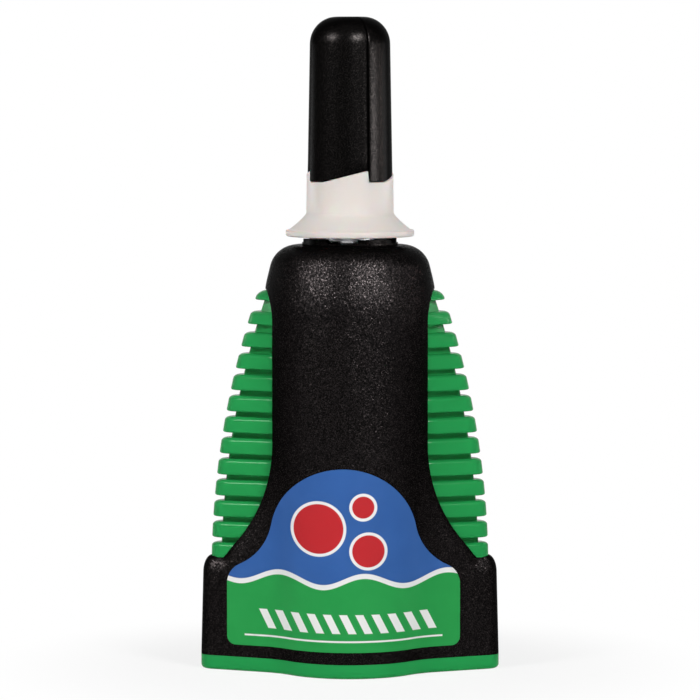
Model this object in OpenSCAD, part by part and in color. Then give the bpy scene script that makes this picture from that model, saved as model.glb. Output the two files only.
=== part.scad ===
// Squeeze dispenser for super glue: shell, two side grips, a metal tube, a screw-down nozzle and a cap.
// Millimetres, +Z up, origin on the floor under the neck's axis. The front faces -Y.

/* [Base and skirt] */
// Width across the skirt at the floor
skirt_w = 41.3; // [39:0.1:44]
// Height of the base plate's visible edge
base_h = 2; // [1.6:0.1:2.6]
// Height of the skirt's rim at its two ends
rim_z = 15.7; // [14.5:0.1:17]
// Height over which the rim's outer corner rounds over
rim_round_h = 2.6; // [1.5:0.1:3.5]
// Lean of the skirt's ends, degrees
skirt_draft = 1.5; // [0.5:0.1:2.5]
// Radius of the wings' rounded ends
wing_tip_r = 2.2; // [2.1:0.05:2.6]
// Radius of the blend between barrel and wing
wing_blend_r = 10; // [6:0.5:12]
// Wall of the wings
wing_wall = 0.8; // [0.7:0.05:0.85]
// Radius of the sweep from the wings' rim up to the barrel
sweep_r = 21; // [19:0.5:24]
// Height at which the sweep meets the barrel
sweep_z = 31.5; // [31:0.1:33]

/* [Barrel] */
// Barrel diameter at the shoulder
barrel_d = 23.9; // [23:0.1:25]
// How much narrower the barrel is at the floor
barrel_taper = 1.3; // [0.6:0.1:1.6]
// Wall of the barrel
barrel_wall = 1.2; // [1:0.05:1.3]
// Height at which the shoulder starts
shoulder_z = 52; // [51.6:0.1:52.4]
// Height of the shell's flat top
shell_top_z = 58.7; // [58.2:0.1:59.4]
// Slope of the shoulder, degrees from upright
shoulder_slope = 14; // [12:1:16]
// Radius of the shoulder's upper edge
shoulder_r = 3.7; // [3.2:0.05:4]
// Height of the windows' top
window_top_z = 52.7; // [52.4:0.1:53]
// Radius of the windows' upper corners
window_corner_r = 4; // [3:0.1:4.4]

/* [Grips] */
// How far the top ribs stand proud of the barrel
grip_top_proud = 0.65; // [0.5:0.05:1]
// How far the lowest ribs stay inside the skirt's ends
grip_low_set = 1.45; // [1.4:0.05:2]
// Number of ribs on each grip
rib_count = 13; // [12:1:13]
// Height of the top rib
rib_top_h = 1.35; // [1.2:0.05:1.6]
// Height of the lowest rib
rib_low_h = 2.3; // [1.9:0.05:2.4]
// Distance from rib to rib
rib_pitch = 2.91; // [2.85:0.01:2.95]
// Depth of the grooves between ribs
rib_depth = 1.35; // [1:0.05:1.4]
// Tip radius of the lowest rib
rib_low_tip_r = 1.3; // [1.15:0.05:1.35]
// Tip radius of the top rib
rib_top_tip_r = 2.3; // [1.8:0.1:2.6]
// Height of the grips' hinge pins
hinge_z = 5.4; // [5.2:0.1:5.6]
// Diameter of the hinge pins
hinge_pin_d = 1.8; // [1.6:0.1:2]

/* [Glue tube] */
// Wall of the tube
tube_wall = 0.2; // [0.15:0.01:0.3]
// Outer diameter of the neck's thread
neck_d = 7; // [6.6:0.1:7.2]
// Height of the neck above the shell
neck_h = 7.6; // [7.2:0.1:8]
// Pitch of the neck's thread
thread_pitch = 1; // [0.8:0.05:1.1]

/* [Nozzle] */
// Gap between the shell and the flange, as the nozzle is delivered
flange_gap = 1.2; // [1.15:0.05:1.5]
// Diameter of the nozzle's flange
flange_d = 17.7; // [17:0.1:18.4]
// Height of the flange's rim
flange_rim_h = 0.9; // [0.7:0.05:1.2]
// Height of the hollow flare above the rim
flare_h = 2.3; // [2:0.1:2.8]
// Diameter of the collar
collar_d = 12.05; // [11.9:0.05:12.4]
// Height from the flange's underside to the foot of the ramps
collar_h = 7.6; // [7.3:0.1:8]
// Rise of each ramp
ramp_rise = 1.5; // [1.2:0.1:1.7]
// Distance that the nozzle screws down to pierce the tube
pierce_travel = 1; // [0.8:0.05:1]

/* [Cap] */
// Height of the cap
cap_h = 22.5; // [22:0.1:24]
// Mean diameter of the cap at its lower edge
cap_low_d = 11.9; // [11.6:0.02:12]
// Mean diameter of the cap below its rounded top
cap_top_d = 11.24; // [10.9:0.02:11.5]
// Radius of the cap's rounded top edge
cap_round_r = 3.75; // [3:0.05:4]
// Step at each of the four fins
fin_step = 0.45; // [0.2:0.05:0.6]
// Where the first fin stands, degrees from the front towards +X
fin_turn = 26; // [0:1:89]

/* [Labels] */
// Width of the label's foot
label_w = 32; // [30:0.1:32.4]
// Height of the label's lower edge
label_low_z = 3.7; // [3.2:0.1:4.5]
// Height of the label's foot at its sides
label_foot_top_z = 15.2; // [14.5:0.1:15.6]
// Radius of the label's domed head
label_head_r = 10; // [9:0.1:10.2]
// Height of the top of the label's head
label_top_z = 28.8; // [27:0.1:29.5]
// How far the label sits left of the middle
label_shift = 0.9; // [0:0.1:1]

/* [Hidden] */
$fn = 96;
plan_fn = 64;

// Fits and small gaps
run_gap = 0.05;
slide_gap = 0.1;
free_gap = 0.2;
film = 0.02;
over = 1;
far = 60;
thin = 0.1;

// Skirt and barrel
skirt_half = skirt_w / 2;
barrel_top_r = barrel_d / 2;
barrel_low_r = barrel_top_r - barrel_taper / 2;
window_half_share = 0.4;
window_half = window_half_share * barrel_top_r;
wing_root_share = 0.4645;
wing_root_half = wing_root_share * barrel_top_r;
skirt_h = sweep_z - base_h;
rim_foot_z = rim_z - rim_round_h;
rim_end_x = skirt_half - tan(skirt_draft) * (rim_foot_z - base_h);
rim_round_w = 0.8;
window_lean = 1.8;
panel_x = sqrt(pow(barrel_r(sweep_z), 2) - pow(window_half, 2));
blend_set = 2.5;
blend_x = panel_x - blend_set;
blend_rise = 4;
shoulder_arc_z = shell_top_z - shoulder_r;
shoulder_cone_h = shoulder_arc_z + shoulder_r * sin(shoulder_slope) - shoulder_z;
shoulder_arc_x = barrel_top_r - shoulder_cone_h * tan(shoulder_slope) - shoulder_r * cos(shoulder_slope);
shell_roof = 1.5;
roof_z = shell_top_z - shell_roof;
arc_steps = 8;

// Tube
tube_share = 0.604;
tube_r = tube_share * (barrel_low_r - barrel_wall);
neck_r = neck_d / 2;
thread_depth = 0.4;
neck_core_r = neck_r - thread_depth;
thread_half = thread_pitch / 2 - run_gap;
neck_wall = 0.7;
neck_bore_r = neck_core_r - neck_wall;
neck_top_z = shell_top_z + neck_h;
membrane_t = 0.12;
tube_cone_top_z = roof_z - slide_gap;
tube_cone_h = 2.9;
tube_cone_z = tube_cone_top_z - tube_cone_h;
tube_roof = 0.6;
tube_round_z = 30;
tail_top_z = 10;
tail_lift = 3;
tail_z = base_h + tail_lift;
tail_t = 0.8;
tail_half = tube_r * PI / 2;
seat_r = 5.2;
seat_h = 2.2;
neck_hole_r = neck_r + free_gap;
mouth_land = 0.25;
tube_mouth_r = neck_core_r + mouth_land;

// Neck ring
ring_w = 3.1;
ring_r = neck_r + ring_w;
ring_plate_h = 0.35;
ring_tooth_w = 1.4;
ring_tooth_r = ring_r - ring_tooth_w;
ring_h = 0.9;
ring_tooth_count = 4;
ring_tooth_arc = 52;
ring_tooth_turn = -79;
ring_tooth_lean = 50;

// Nozzle
flange_r = flange_d / 2;
flange_z = shell_top_z + flange_gap;
collar_r = collar_d / 2;
collar_lean = 0.05;
collar_top_r = collar_r - collar_lean;
flare_bend = 1.3;
ramp_z = flange_z + collar_h;
ramp_flat = 26;
ramp_end = 86;
ramp_step = 6;
step_gap = 1.2;
ramp_gap = 0.06;
rim_lip_w = 1.5;
recess_h = 1.3;
sleeve_r = 4.95;
sleeve_rise = 0.4;
thread_bore_r = neck_r + slide_gap;
spike_gap = 0.15;
spike_over = 0.15;
spike_h = pierce_travel + spike_over;
spout_flange_z = neck_top_z + membrane_t + spike_gap + spike_h;
spout_flange_h = 1.1;
ledge_z = spout_flange_z + spout_flange_h + slide_gap;
spigot_r = 4.5;
spigot_h = 3.6;
spigot_top_z = ledge_z + spigot_h;
spout_r = 2.45;
spout_straight_h = 4.4;
spout_tip_r = 0.85;
spout_bore_r = 0.95;
spout_mouth_r = 0.34;
mouth_h = 5;
spike_r = 1.3;
spike_tip_r = 0.55;

// Cap
cap_z = ramp_z;
cap_top_z = cap_z + cap_h;
cap_low_r = cap_low_d / 2;
cap_top_r = cap_top_d / 2;
fin_shift = fin_step / sqrt(2);
cap_bore_r = spigot_r + slide_gap;
spigot_room = 0.9;
cap_bore_top_z = spigot_top_z + spigot_room;
cap_hollow_r = 3.85;
cap_taper_h = 2;
cap_roof = 2;
plug_r = cap_hollow_r - run_gap;
plug_h = 5;
plug_top_z = cap_top_z - cap_roof;
plug_z = plug_top_z - plug_h;
plug_pocket_r = 0.85;
plug_floor = 0.8;
pin_r = 0.25;
pin_head_r = 0.75;
pin_head_h = 0.35;
pin_head_z = plug_top_z - pin_head_h - slide_gap;
pin_reach = 6;
spout_tip_z = plug_z - slide_gap;

// Grips
grip_top_half = barrel_top_r + grip_top_proud;
grip_low_half = skirt_half - grip_low_set;
hinge_x = panel_x;
grip_dz = window_top_z - rim_foot_z;
grip_sag = grip_low_half - grip_top_half;
grip_arc_r = (pow(grip_sag, 2) + pow(grip_dz, 2)) / (2 * grip_sag);
grip_gap = 0.2;
grip_top_z = window_top_z - grip_gap;
foot_lift = 3;
grip_foot_z = hinge_z + foot_lift;
press_gap = 0.9;
grip_press_x = tube_r + press_gap;
grip_flange_t = 0.9;
flange_lap = 0.8;
grip_flange_half = window_half + flange_lap;
grip_skin = 1.5;
grip_slot_half = 1.4;
root_gap = 0.5;
grip_root_half = window_half - root_gap;
tab_h = 1.5;
tab_t = 1.2;
tab_room = 1.3;
tab_share = 0.6;
tab_x = barrel_top_r - barrel_wall - tab_room - tab_t;
tab_half = tab_share * window_half;
eye_r = 1.9;
eye_half = 1.5;
hinge_pin_r = hinge_pin_d / 2;
lug_half = 2.9;
lug_inner_half = eye_half + free_gap;
lug_w = 4;
lug_wall = 0.9;
lug_top_z = hinge_z + hinge_pin_r + lug_wall;

// Base
plug_gap = 0.12;
base_rim_w = 0.9;
base_rim_h = 2.1;
slot_wall = 1;
slot_half = 7;
slot_h = 3;
slot_top_z = tail_z + slot_h;

// Labels
label_t = 0.15;
label_corner_r = 1.2;
label_shoulder_r = 3;
label_blend_r = 8;

black = "#141414";
green = "#2b994d";
milk = "#e8e2de";

function barrel_r(z) =
    barrel_low_r + (barrel_top_r - barrel_low_r) * (z - base_h) / (shoulder_z - base_h);

// Half width across the grips' ribs at a height
function crest_x(z) =
    grip_low_half - grip_arc_r + sqrt(pow(grip_arc_r, 2) - pow(z - rim_foot_z, 2));

// Share of the way up the grip
function grip_share(z) = (z - rim_z) / (window_top_z - rim_z);

function tip_r(z) = rib_low_tip_r + (rib_top_tip_r - rib_low_tip_r) * max(0, grip_share(z));

// Height of a rib, counted from the top
function rib_h(i) = rib_low_h - (rib_low_h - rib_top_h) / pow(2, i);

// Height of the ramps' edge at an angle past a fin
function ramp_edge(a) =
    a <= ramp_flat ? 0 : ramp_rise * min(1, (a - ramp_flat) / (ramp_end - ramp_flat));

// Plan of the shell: barrel and wings, blended, with wings of a given reach
module shell_plan(grow = 0, reach = skirt_half) {
    $fn = plan_fn;
    offset(r = grow) offset(r = -wing_blend_r) offset(r = wing_blend_r) {
        circle(barrel_low_r);
        hull() for (side = [-1, 1]) {
            translate([side * (reach - wing_tip_r), 0]) circle(wing_tip_r);
            translate([side * panel_x / 2, 0]) square([panel_x, 2 * wing_root_half], center = true);
        }
    }
}

// The skirt as an upright block
module skirt_block(grow = 0, reach = skirt_half, drop = 0, rise = 0) {
    translate([0, 0, base_h - drop]) linear_extrude(height = skirt_h + drop + rise) shell_plan(grow, reach);
}

// Front view of what is kept of the skirt's block: leaning ends, round rim corners and the two sweeps
module skirt_front(grow = 0) {
    sweep_end = asin((sweep_z - rim_z) / sweep_r);
    half = concat(
        [[0, 0], [skirt_half + grow, 0], [skirt_half + grow, base_h]],
        [for (i = [0 : arc_steps]) let (a = i * 90 / arc_steps)
            [rim_end_x + grow - rim_round_w * (1 - cos(a)), rim_foot_z + rim_round_h * sin(a)]],
        [for (i = [0 : arc_steps]) let (a = sweep_end * (1 - i / arc_steps))
            [panel_x + sweep_r * (1 - cos(a)), sweep_z - sweep_r * sin(a)]],
        [[blend_x, sweep_z + blend_rise], [0, sweep_z + blend_rise]]);
    polygon(half);
    mirror([1, 0]) polygon(half);
}

// A front view, pushed through the depth
module through_front() {
    rotate([90, 0, 0]) linear_extrude(height = 2 * far, center = true) children();
}

// Barrel and shoulder as one turned solid
module barrel_block(grow = 0) {
    rotate_extrude() polygon(concat(
        [[0, base_h], [barrel_low_r + grow, base_h], [barrel_top_r + grow, shoulder_z]],
        [for (i = [0 : arc_steps]) let (a = shoulder_slope + (90 - shoulder_slope) * i / arc_steps)
            [shoulder_arc_x + (shoulder_r + grow) * cos(a), shoulder_arc_z + (shoulder_r + grow) * sin(a)]],
        [[0, shell_top_z + grow]]));
}

module barrel_hollow() {
    rotate_extrude() polygon([
        [0, base_h - over], [barrel_low_r - barrel_wall, base_h - over],
        [barrel_top_r - barrel_wall, shoulder_z],
        [shoulder_arc_x + shoulder_r * cos(shoulder_slope) - barrel_wall, shoulder_arc_z],
        [shoulder_arc_x, roof_z], [0, roof_z]]);
}

// Outside of the shell, grown for the labels
module shell_outside(grow = 0) {
    barrel_block(grow);
    intersection() {
        skirt_block(grow, rise = blend_rise);
        through_front() skirt_front(grow);
    }
}

// Side view of a window from a given height up, pushed through the width, drawn in at its sides and its top
module window_block(low, side_gap = 0, top_gap = 0) {
    r = window_corner_r - top_gap;
    corner_z = window_top_z - window_corner_r;
    corner_y = window_half + tan(window_lean) * (corner_z - sweep_z) - side_gap - r;
    low_half = corner_y + r - tan(window_lean) * (corner_z - low);
    rotate([90, 0, 90]) linear_extrude(height = 2 * far, center = true) polygon(concat(
        [[-low_half, low], [low_half, low]],
        [for (i = [0 : arc_steps]) let (a = 90 * i / arc_steps)
            [corner_y + r * cos(a), corner_z + r * sin(a)]],
        [for (i = [0 : arc_steps]) let (a = 90 * i / arc_steps)
            [-corner_y - r * sin(a), corner_z + r * cos(a)]]));
}

// The two side windows, cut through the barrel's wall alone
module window_cut() {
    intersection() {
        window_block(rim_z);
        barrel_block(film);
    }
}

// Room for the tube's shoulder under the shell's roof
module tube_seat_cut() {
    translate([0, 0, tube_cone_z])
        cylinder(h = tube_cone_h + slide_gap, r1 = tube_r + free_gap, r2 = tube_mouth_r + free_gap);
}

module body_shell() {
    color(black) difference() {
        union() {
            difference() {
                shell_outside();
                barrel_hollow();
                skirt_block(-wing_wall, rim_end_x, over);
            }
            translate([0, 0, roof_z - seat_h]) cylinder(h = seat_h + thin, r = seat_r);
        }
        window_cut();
        tube_seat_cut();
        translate([0, 0, roof_z - over]) cylinder(h = far, r = neck_hole_r);
    }
}

// One lug of a grip's hinge, still without its bore
module hinge_lug(side, face) {
    depth = lug_half - lug_inner_half;
    h = lug_top_z - base_h + thin;
    translate([side * hinge_x, face * (lug_inner_half + depth / 2), lug_top_z - h / 2])
        cube([lug_w, depth, h], center = true);
}

module base_plate() {
    color(green) difference() {
        union() {
            linear_extrude(height = base_h) shell_plan();
            translate([0, 0, base_h - thin]) linear_extrude(height = base_rim_h + thin) difference() {
                shell_plan(-barrel_wall - plug_gap, rim_end_x);
                shell_plan(-barrel_wall - plug_gap - base_rim_w, rim_end_x);
            }
            for (side = [-1, 1]) {
                hinge_lug(side, -1);
                hinge_lug(side, 1);
                translate([side * (tail_t + slot_wall + 2 * run_gap) / 2, 0, (slot_top_z + base_h - thin) / 2])
                    cube([slot_wall, 2 * slot_half, slot_top_z - base_h + thin], center = true);
            }
        }
        for (side = [-1, 1])
            translate([side * hinge_x, 0, hinge_z]) rotate([90, 0, 0])
                cylinder(h = far, r = hinge_pin_r + run_gap, center = true);
    }
}

// Plan of one rib or groove: a wedge with a round tip, inset for a groove
module rib_plan(z, inset) {
    r = max(rib_low_tip_r - rib_depth / 2, tip_r(z) - inset);
    cx = crest_x(z) - inset - r;
    x = grip_press_x;
    root = grip_root_half - inset;
    reach = sqrt(pow(cx - panel_x, 2) + pow(root, 2));
    lean = atan2(root, cx - panel_x) - asin(r / reach);
    turn = 90 - lean;
    polygon(concat(
        [[x, root], [x, -root], [panel_x, -root]],
        [for (i = [0 : 2 * arc_steps]) let (a = turn * (i / arc_steps - 1)) [cx + r * cos(a), r * sin(a)]],
        [[panel_x, root]]));
}

// The ribs of a grip on their core, trimmed to the window's round top
module rib_stack() {
    foot_h = grip_top_z - (rib_count - 1) * rib_pitch - rib_low_h - grip_foot_z;
    intersection() {
        union() {
            for (i = [0 : rib_count - 1]) {
                top = grip_top_z - i * rib_pitch;
                mid = top - rib_h(i) / 2;
                translate([0, 0, top - rib_h(i)]) linear_extrude(height = rib_h(i)) rib_plan(mid, 0);
                translate([0, 0, top - rib_pitch - thin])
                    linear_extrude(height = rib_pitch - rib_h(i) / 2 + thin) rib_plan(mid, rib_depth);
            }
            translate([0, 0, grip_foot_z]) linear_extrude(height = foot_h + thin) rib_plan(rim_z, rib_depth);
        }
        window_block(base_h, grip_gap - run_gap, grip_gap);
    }
}

module right_grip_solid() {
    slot_low = grip_foot_z + grip_skin;
    slot_high = grip_top_z - grip_skin;
    difference() {
        union() {
            rib_stack();
            translate([grip_press_x, -grip_flange_half, rim_z])
                cube([grip_flange_t, 2 * grip_flange_half, grip_top_z - window_corner_r - rim_z]);
            translate([tab_x, -tab_half, grip_top_z - over]) cube([tab_t, 2 * tab_half, tab_h + over]);
            translate([hinge_x - eye_r, -eye_half, hinge_z])
                cube([2 * eye_r, 2 * eye_half, grip_foot_z - hinge_z + grip_skin]);
            translate([hinge_x, 0, hinge_z]) rotate([90, 0, 0])
                cylinder(h = 2 * eye_half, r = eye_r, center = true);
        }
        translate([0, -grip_slot_half, slot_low]) cube([panel_x, 2 * grip_slot_half, slot_high - slot_low]);
    }
    translate([hinge_x, 0, hinge_z]) rotate([90, 0, 0])
        cylinder(h = 2 * lug_half, r = hinge_pin_r, center = true);
}

module left_grip() {
    color(green) mirror([1, 0, 0]) right_grip_solid();
}

module right_grip() {
    color(green) right_grip_solid();
}

// The tube's bag: a round shoulder above, drawn out flat to its folded tail
module tube_bag(inset = 0, roof = 0) {
    hull() {
        translate([0, 0, tube_cone_top_z - thin - roof]) cylinder(h = thin, r = tube_mouth_r - inset);
        translate([0, 0, tube_round_z]) cylinder(h = tube_cone_z - tube_round_z, r = tube_r - inset);
        translate([0, 0, tail_top_z])
            cube([tail_t - 2 * inset, 2 * (tail_half - inset), thin], center = true);
    }
}

module glue_tube() {
    turns = floor((neck_top_z - shell_top_z - thread_pitch) / thread_pitch);
    color("silver") difference() {
        union() {
            tube_bag();
            translate([0, 0, (tail_z + tail_top_z) / 2])
                cube([tail_t, 2 * tail_half, tail_top_z - tail_z], center = true);
            translate([0, 0, tube_cone_z]) cylinder(h = neck_top_z - tube_cone_z, r = neck_core_r);
            for (i = [0 : turns])
                translate([0, 0, shell_top_z + (i + 1 / 2) * thread_pitch]) rotate_extrude()
                    polygon([[neck_core_r - thin, -thread_half], [neck_core_r, -thread_half],
                        [neck_r, -thin], [neck_r, thin], [neck_core_r, thread_half],
                        [neck_core_r - thin, thread_half]]);
        }
        tube_bag(tube_wall, tube_roof);
        translate([0, 0, tube_cone_z]) cylinder(h = far, r = neck_bore_r);
    }
}

module neck_membrane() {
    color("silver") translate([0, 0, neck_top_z]) cylinder(h = membrane_t, r = neck_core_r);
}

// One tooth of the neck ring, its leading end leaning back
module ring_tooth() {
    difference() {
        rotate_extrude(angle = ring_tooth_arc)
            translate([ring_tooth_r, 0]) square([ring_r - run_gap - ring_tooth_r, ring_h]);
        rotate([0, 0, ring_tooth_arc]) translate([0, 0, ring_plate_h]) rotate([ring_tooth_lean, 0, 0])
            cube([far, far, far]);
    }
}

module neck_ring() {
    color(black) translate([0, 0, shell_top_z]) union() {
        difference() {
            cylinder(h = ring_plate_h, r = ring_r);
            translate([0, 0, -over]) cylinder(h = far, r = neck_r + run_gap);
        }
        for (i = [0 : ring_tooth_count - 1])
            rotate([0, 0, ring_tooth_turn - 90 + i * 360 / ring_tooth_count]) ring_tooth();
    }
}

// Everything below the four ramps' edges, lowered by a gap and short of each fin by an angle
module below_ramps(gap = 0, short_of = 0) {
    inner = spigot_r - over;
    outer = cap_low_r + over;
    stops = concat([0], [for (a = [ramp_flat : ramp_step : ramp_end]) a], [90 - short_of]);
    last = len(stops) - 1;
    points = [for (a = stops) each [
        [cos(a) * inner, sin(a) * inner, -far], [cos(a) * outer, sin(a) * outer, -far],
        [cos(a) * outer, sin(a) * outer, ramp_edge(a) - gap],
        [cos(a) * inner, sin(a) * inner, ramp_edge(a) - gap]]];
    faces = concat(
        [[0, 2, 1], [0, 3, 2]],
        [[4 * last, 4 * last + 1, 4 * last + 2], [4 * last, 4 * last + 2, 4 * last + 3]],
        [for (i = [0 : last - 1], k = [0 : 3]) let (p = 4 * i + k, q = 4 * i + (k + 1) % 4)
            each [[p, q, p + 4], [q, q + 4, p + 4]]]);
    for (fin = [0 : 3])
        rotate([0, 0, fin_turn - 90 + 90 * fin]) translate([0, 0, ramp_z]) polyhedron(points, faces);
}

module nozzle_collar() {
    lip_r = flange_rim_h / 2;
    flare_z = flange_z + flange_rim_h;
    color(milk) union() {
        rotate_extrude() polygon(concat(
            [[thread_bore_r, flange_z + sleeve_rise], [sleeve_r, flange_z + sleeve_rise],
                [sleeve_r, flange_z + recess_h], [flange_r - rim_lip_w, flange_z + recess_h],
                [flange_r - rim_lip_w, flange_z]],
            [for (i = [0 : arc_steps]) let (a = -90 + 180 * i / arc_steps)
                [flange_r - lip_r + lip_r * cos(a), flange_z + lip_r + lip_r * sin(a)]],
            [for (i = [1 : arc_steps]) let (share = i / arc_steps)
                [collar_r + (flange_r - lip_r - collar_r) * pow(1 - share, flare_bend),
                    flare_z + flare_h * share]],
            [[collar_top_r, ramp_z - 2 * ramp_gap], [spigot_r, ramp_z - 2 * ramp_gap], [spigot_r, spigot_top_z],
                [spout_r + slide_gap, spigot_top_z], [spout_r + slide_gap, ledge_z],
                [thread_bore_r, ledge_z]]));
        intersection() {
            translate([0, 0, ramp_z - ramp_rise]) difference() {
                cylinder(h = far, r = collar_top_r);
                translate([0, 0, -over]) cylinder(h = 2 * far, r = spigot_r - thin);
            }
            below_ramps(ramp_gap, step_gap);
        }
    }
}

module nozzle_spout() {
    straight_z = spout_flange_z + spout_flange_h + spout_straight_h;
    color(milk) rotate_extrude() polygon([
        [spout_bore_r / 2, spout_flange_z - spike_h], [spike_tip_r, spout_flange_z - spike_h],
        [spike_r, spout_flange_z], [thread_bore_r - slide_gap, spout_flange_z],
        [thread_bore_r - slide_gap, spout_flange_z + spout_flange_h],
        [spout_r, spout_flange_z + spout_flange_h], [spout_r, straight_z],
        [spout_tip_r, spout_tip_z], [spout_mouth_r, spout_tip_z], [spout_mouth_r, spout_tip_z - mouth_h],
        [spout_bore_r, straight_z], [spout_bore_r / 2, spout_flange_z]]);
}

// Turned form of the cap; the fins shift it off the axis
module cap_turned() {
    round_z = cap_top_z - cap_round_r;
    round_x = cap_top_r - cap_round_r;
    rotate_extrude() polygon(concat(
        [[0, cap_z], [cap_low_r, cap_z]],
        [for (i = [0 : arc_steps]) let (a = 90 * i / arc_steps)
            [round_x + cap_round_r * cos(a), round_z + cap_round_r * sin(a)]],
        [[0, cap_top_z]]));
}

module cap() {
    color(black) difference() {
        for (fin = [0 : 3]) rotate([0, 0, fin_turn - 90 + 90 * fin]) intersection() {
            rotate([0, 0, -45]) translate([fin_shift, 0, 0]) cap_turned();
            translate([0, 0, cap_z]) cube([far, far, cap_h]);
        }
        below_ramps();
        translate([0, 0, cap_z - over]) cylinder(h = cap_bore_top_z - cap_z + over, r = cap_bore_r);
        translate([0, 0, cap_bore_top_z - thin])
            cylinder(h = cap_taper_h + thin, r1 = cap_bore_r, r2 = cap_hollow_r);
        translate([0, 0, cap_bore_top_z])
            cylinder(h = plug_top_z + run_gap - cap_bore_top_z, r = cap_hollow_r);
    }
}

module cap_plug() {
    color(milk) rotate_extrude() polygon([
        [pin_r + run_gap, plug_z], [plug_r, plug_z], [plug_r, plug_top_z], [plug_pocket_r, plug_top_z],
        [plug_pocket_r, plug_z + plug_floor], [pin_r + run_gap, plug_z + plug_floor]]);
}

module sealing_pin() {
    color("lightgray") rotate_extrude() polygon([
        [0, spout_tip_z - pin_reach], [pin_r, spout_tip_z - pin_reach], [pin_r, pin_head_z],
        [pin_head_r, pin_head_z], [pin_head_r, pin_head_z + pin_head_h], [0, pin_head_z + pin_head_h]]);
}

// Front view of a label: a domed head on a wide foot, blended and rounded
module label_front() {
    offset(r = -label_blend_r) offset(r = label_blend_r) {
        translate([0, label_top_z - label_head_r]) circle(label_head_r);
        hull() for (side = [-1, 1]) {
            translate([side * (label_w / 2 - label_corner_r), label_low_z + label_corner_r])
                circle(label_corner_r);
            translate([side * (label_w / 2 - label_shoulder_r), label_foot_top_z - label_shoulder_r])
                circle(label_shoulder_r);
        }
    }
}

// A sticker that follows the shell on its front
module sticker() {
    difference() {
        intersection() {
            shell_outside(film + label_t);
            translate([-label_shift, -far, 0]) through_front() label_front();
        }
        shell_outside(film);
    }
}

module front_label() {
    color("#3a62a5") sticker();
}

module back_label() {
    color("#3a62a5") rotate([0, 0, 180]) sticker();
}

body_shell();
base_plate();
left_grip();
right_grip();
glue_tube();
neck_membrane();
neck_ring();
nozzle_collar();
nozzle_spout();
cap();
cap_plug();
sealing_pin();
front_label();
back_label();
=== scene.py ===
"""Dresses the squeeze dispenser: shell, grips, base, nozzle, cap, stickers, light and camera."""
import math

import bpy
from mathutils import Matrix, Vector


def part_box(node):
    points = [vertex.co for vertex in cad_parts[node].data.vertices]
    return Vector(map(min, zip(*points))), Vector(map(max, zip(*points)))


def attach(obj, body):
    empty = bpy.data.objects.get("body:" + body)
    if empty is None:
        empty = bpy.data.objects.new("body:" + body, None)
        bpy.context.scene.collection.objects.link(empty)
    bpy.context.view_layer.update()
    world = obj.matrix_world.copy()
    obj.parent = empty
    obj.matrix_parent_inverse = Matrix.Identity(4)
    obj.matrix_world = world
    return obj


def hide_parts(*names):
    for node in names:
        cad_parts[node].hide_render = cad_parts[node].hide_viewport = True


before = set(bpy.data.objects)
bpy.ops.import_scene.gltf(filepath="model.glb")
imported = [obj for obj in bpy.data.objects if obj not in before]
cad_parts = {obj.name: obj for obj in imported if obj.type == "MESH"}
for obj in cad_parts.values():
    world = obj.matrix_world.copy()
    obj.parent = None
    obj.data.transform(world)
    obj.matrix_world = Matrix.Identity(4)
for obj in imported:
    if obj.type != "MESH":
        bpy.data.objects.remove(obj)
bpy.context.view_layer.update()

# Sizes of the object are in millimetres and turn to metres where points are placed.
MM = 0.001

shell_low, shell_high = (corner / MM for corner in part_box("body_shell"))

# Shell: barrel and shoulder
BASE_Z = shell_low.z
SHELL_TOP = shell_high.z
BARREL_R = shell_high.y
BARREL_TAPER = 0.65
SHOULDER_Z = 52.0
SHOULDER_FALL = math.tan(math.radians(14))
SHOULDER_SOFT = 2.5
SHOULDER_R = 3.7
NECK_HOLE_R = 3.7
SHELL_WALL = 0.8
SHELL_EDGE = 0.1

# Shell: skirt and wings
SKIRT_HALF = shell_high.x
SKIRT_LEAN = math.tan(math.radians(1.5))
RIM_Z = 15.7
RIM_ROUND_H = 2.2
RIM_ROUND_W = 1.2
TIP_R = 2.2
WING_ROOT = 5.55
WING_BLEND_R = 10.0
WING_FADE = (27.0, 38.0)
ROUND_SHARE = 0.97

# Shell: windows and the sweep above each wing
SWEEP_R = 21.0
SWEEP_Z = 31.5
SWEEP_ROUND_H = 2.2
SWEEP_ROUND_W = 0.75
SWEEP_TURN = 2.4
WINDOW_HALF = 4.78
WINDOW_LEAN = math.tan(math.radians(1.8))
WINDOW_TOP = 52.7
WINDOW_ARCH_R = 4.0
WINDOW_ARCH_Z = WINDOW_TOP - WINDOW_ARCH_R
WINDOW_ROUND_H = 0.7
WINDOW_ROUND_W = 0.25
WINDOW_FADE = (29.0, 34.0)

# Shell: rows of its mesh from the base up, and columns close together near the free edge
FOOT_ROWS = (0, 0.12, 0.4)
SKIRT_ROWS = (4, 6, 8, 10, 11.6)
RIM_CROWD = 1.6
EDGE_BAND = 3
EDGE_CROWD = 1.8

# Grips: ribbed pad
CREST_LOW = 19.2
CREST_TOP = 12.6
CREST_LOW_Z = 13.1
RIB_COUNT = 13
RIB_PITCH = 2.91
RIB_TOP_Z = 52.5
RIB_H = (1.35, 2.2)
RIB_H_FADE = 0.5
RIB_TIP_R = (2.4, 1.6)
RIB_DEPTH = 1.35
RIB_SOFT_H = 0.5
RIB_SOFT_W = 0.75
RIB_SHARP = 0.25
TOP_SOFT_H = 1.0
TOP_SOFT_W = 1.3
TOP_GROOVE = 0.3
GRIP_ROOT = 4.28
GRIP_BACK_X = 8.6
GRIP_GAP = 0.15
ROOT_MIN = 0.3
FLANK_MIN = 0.4

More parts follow.
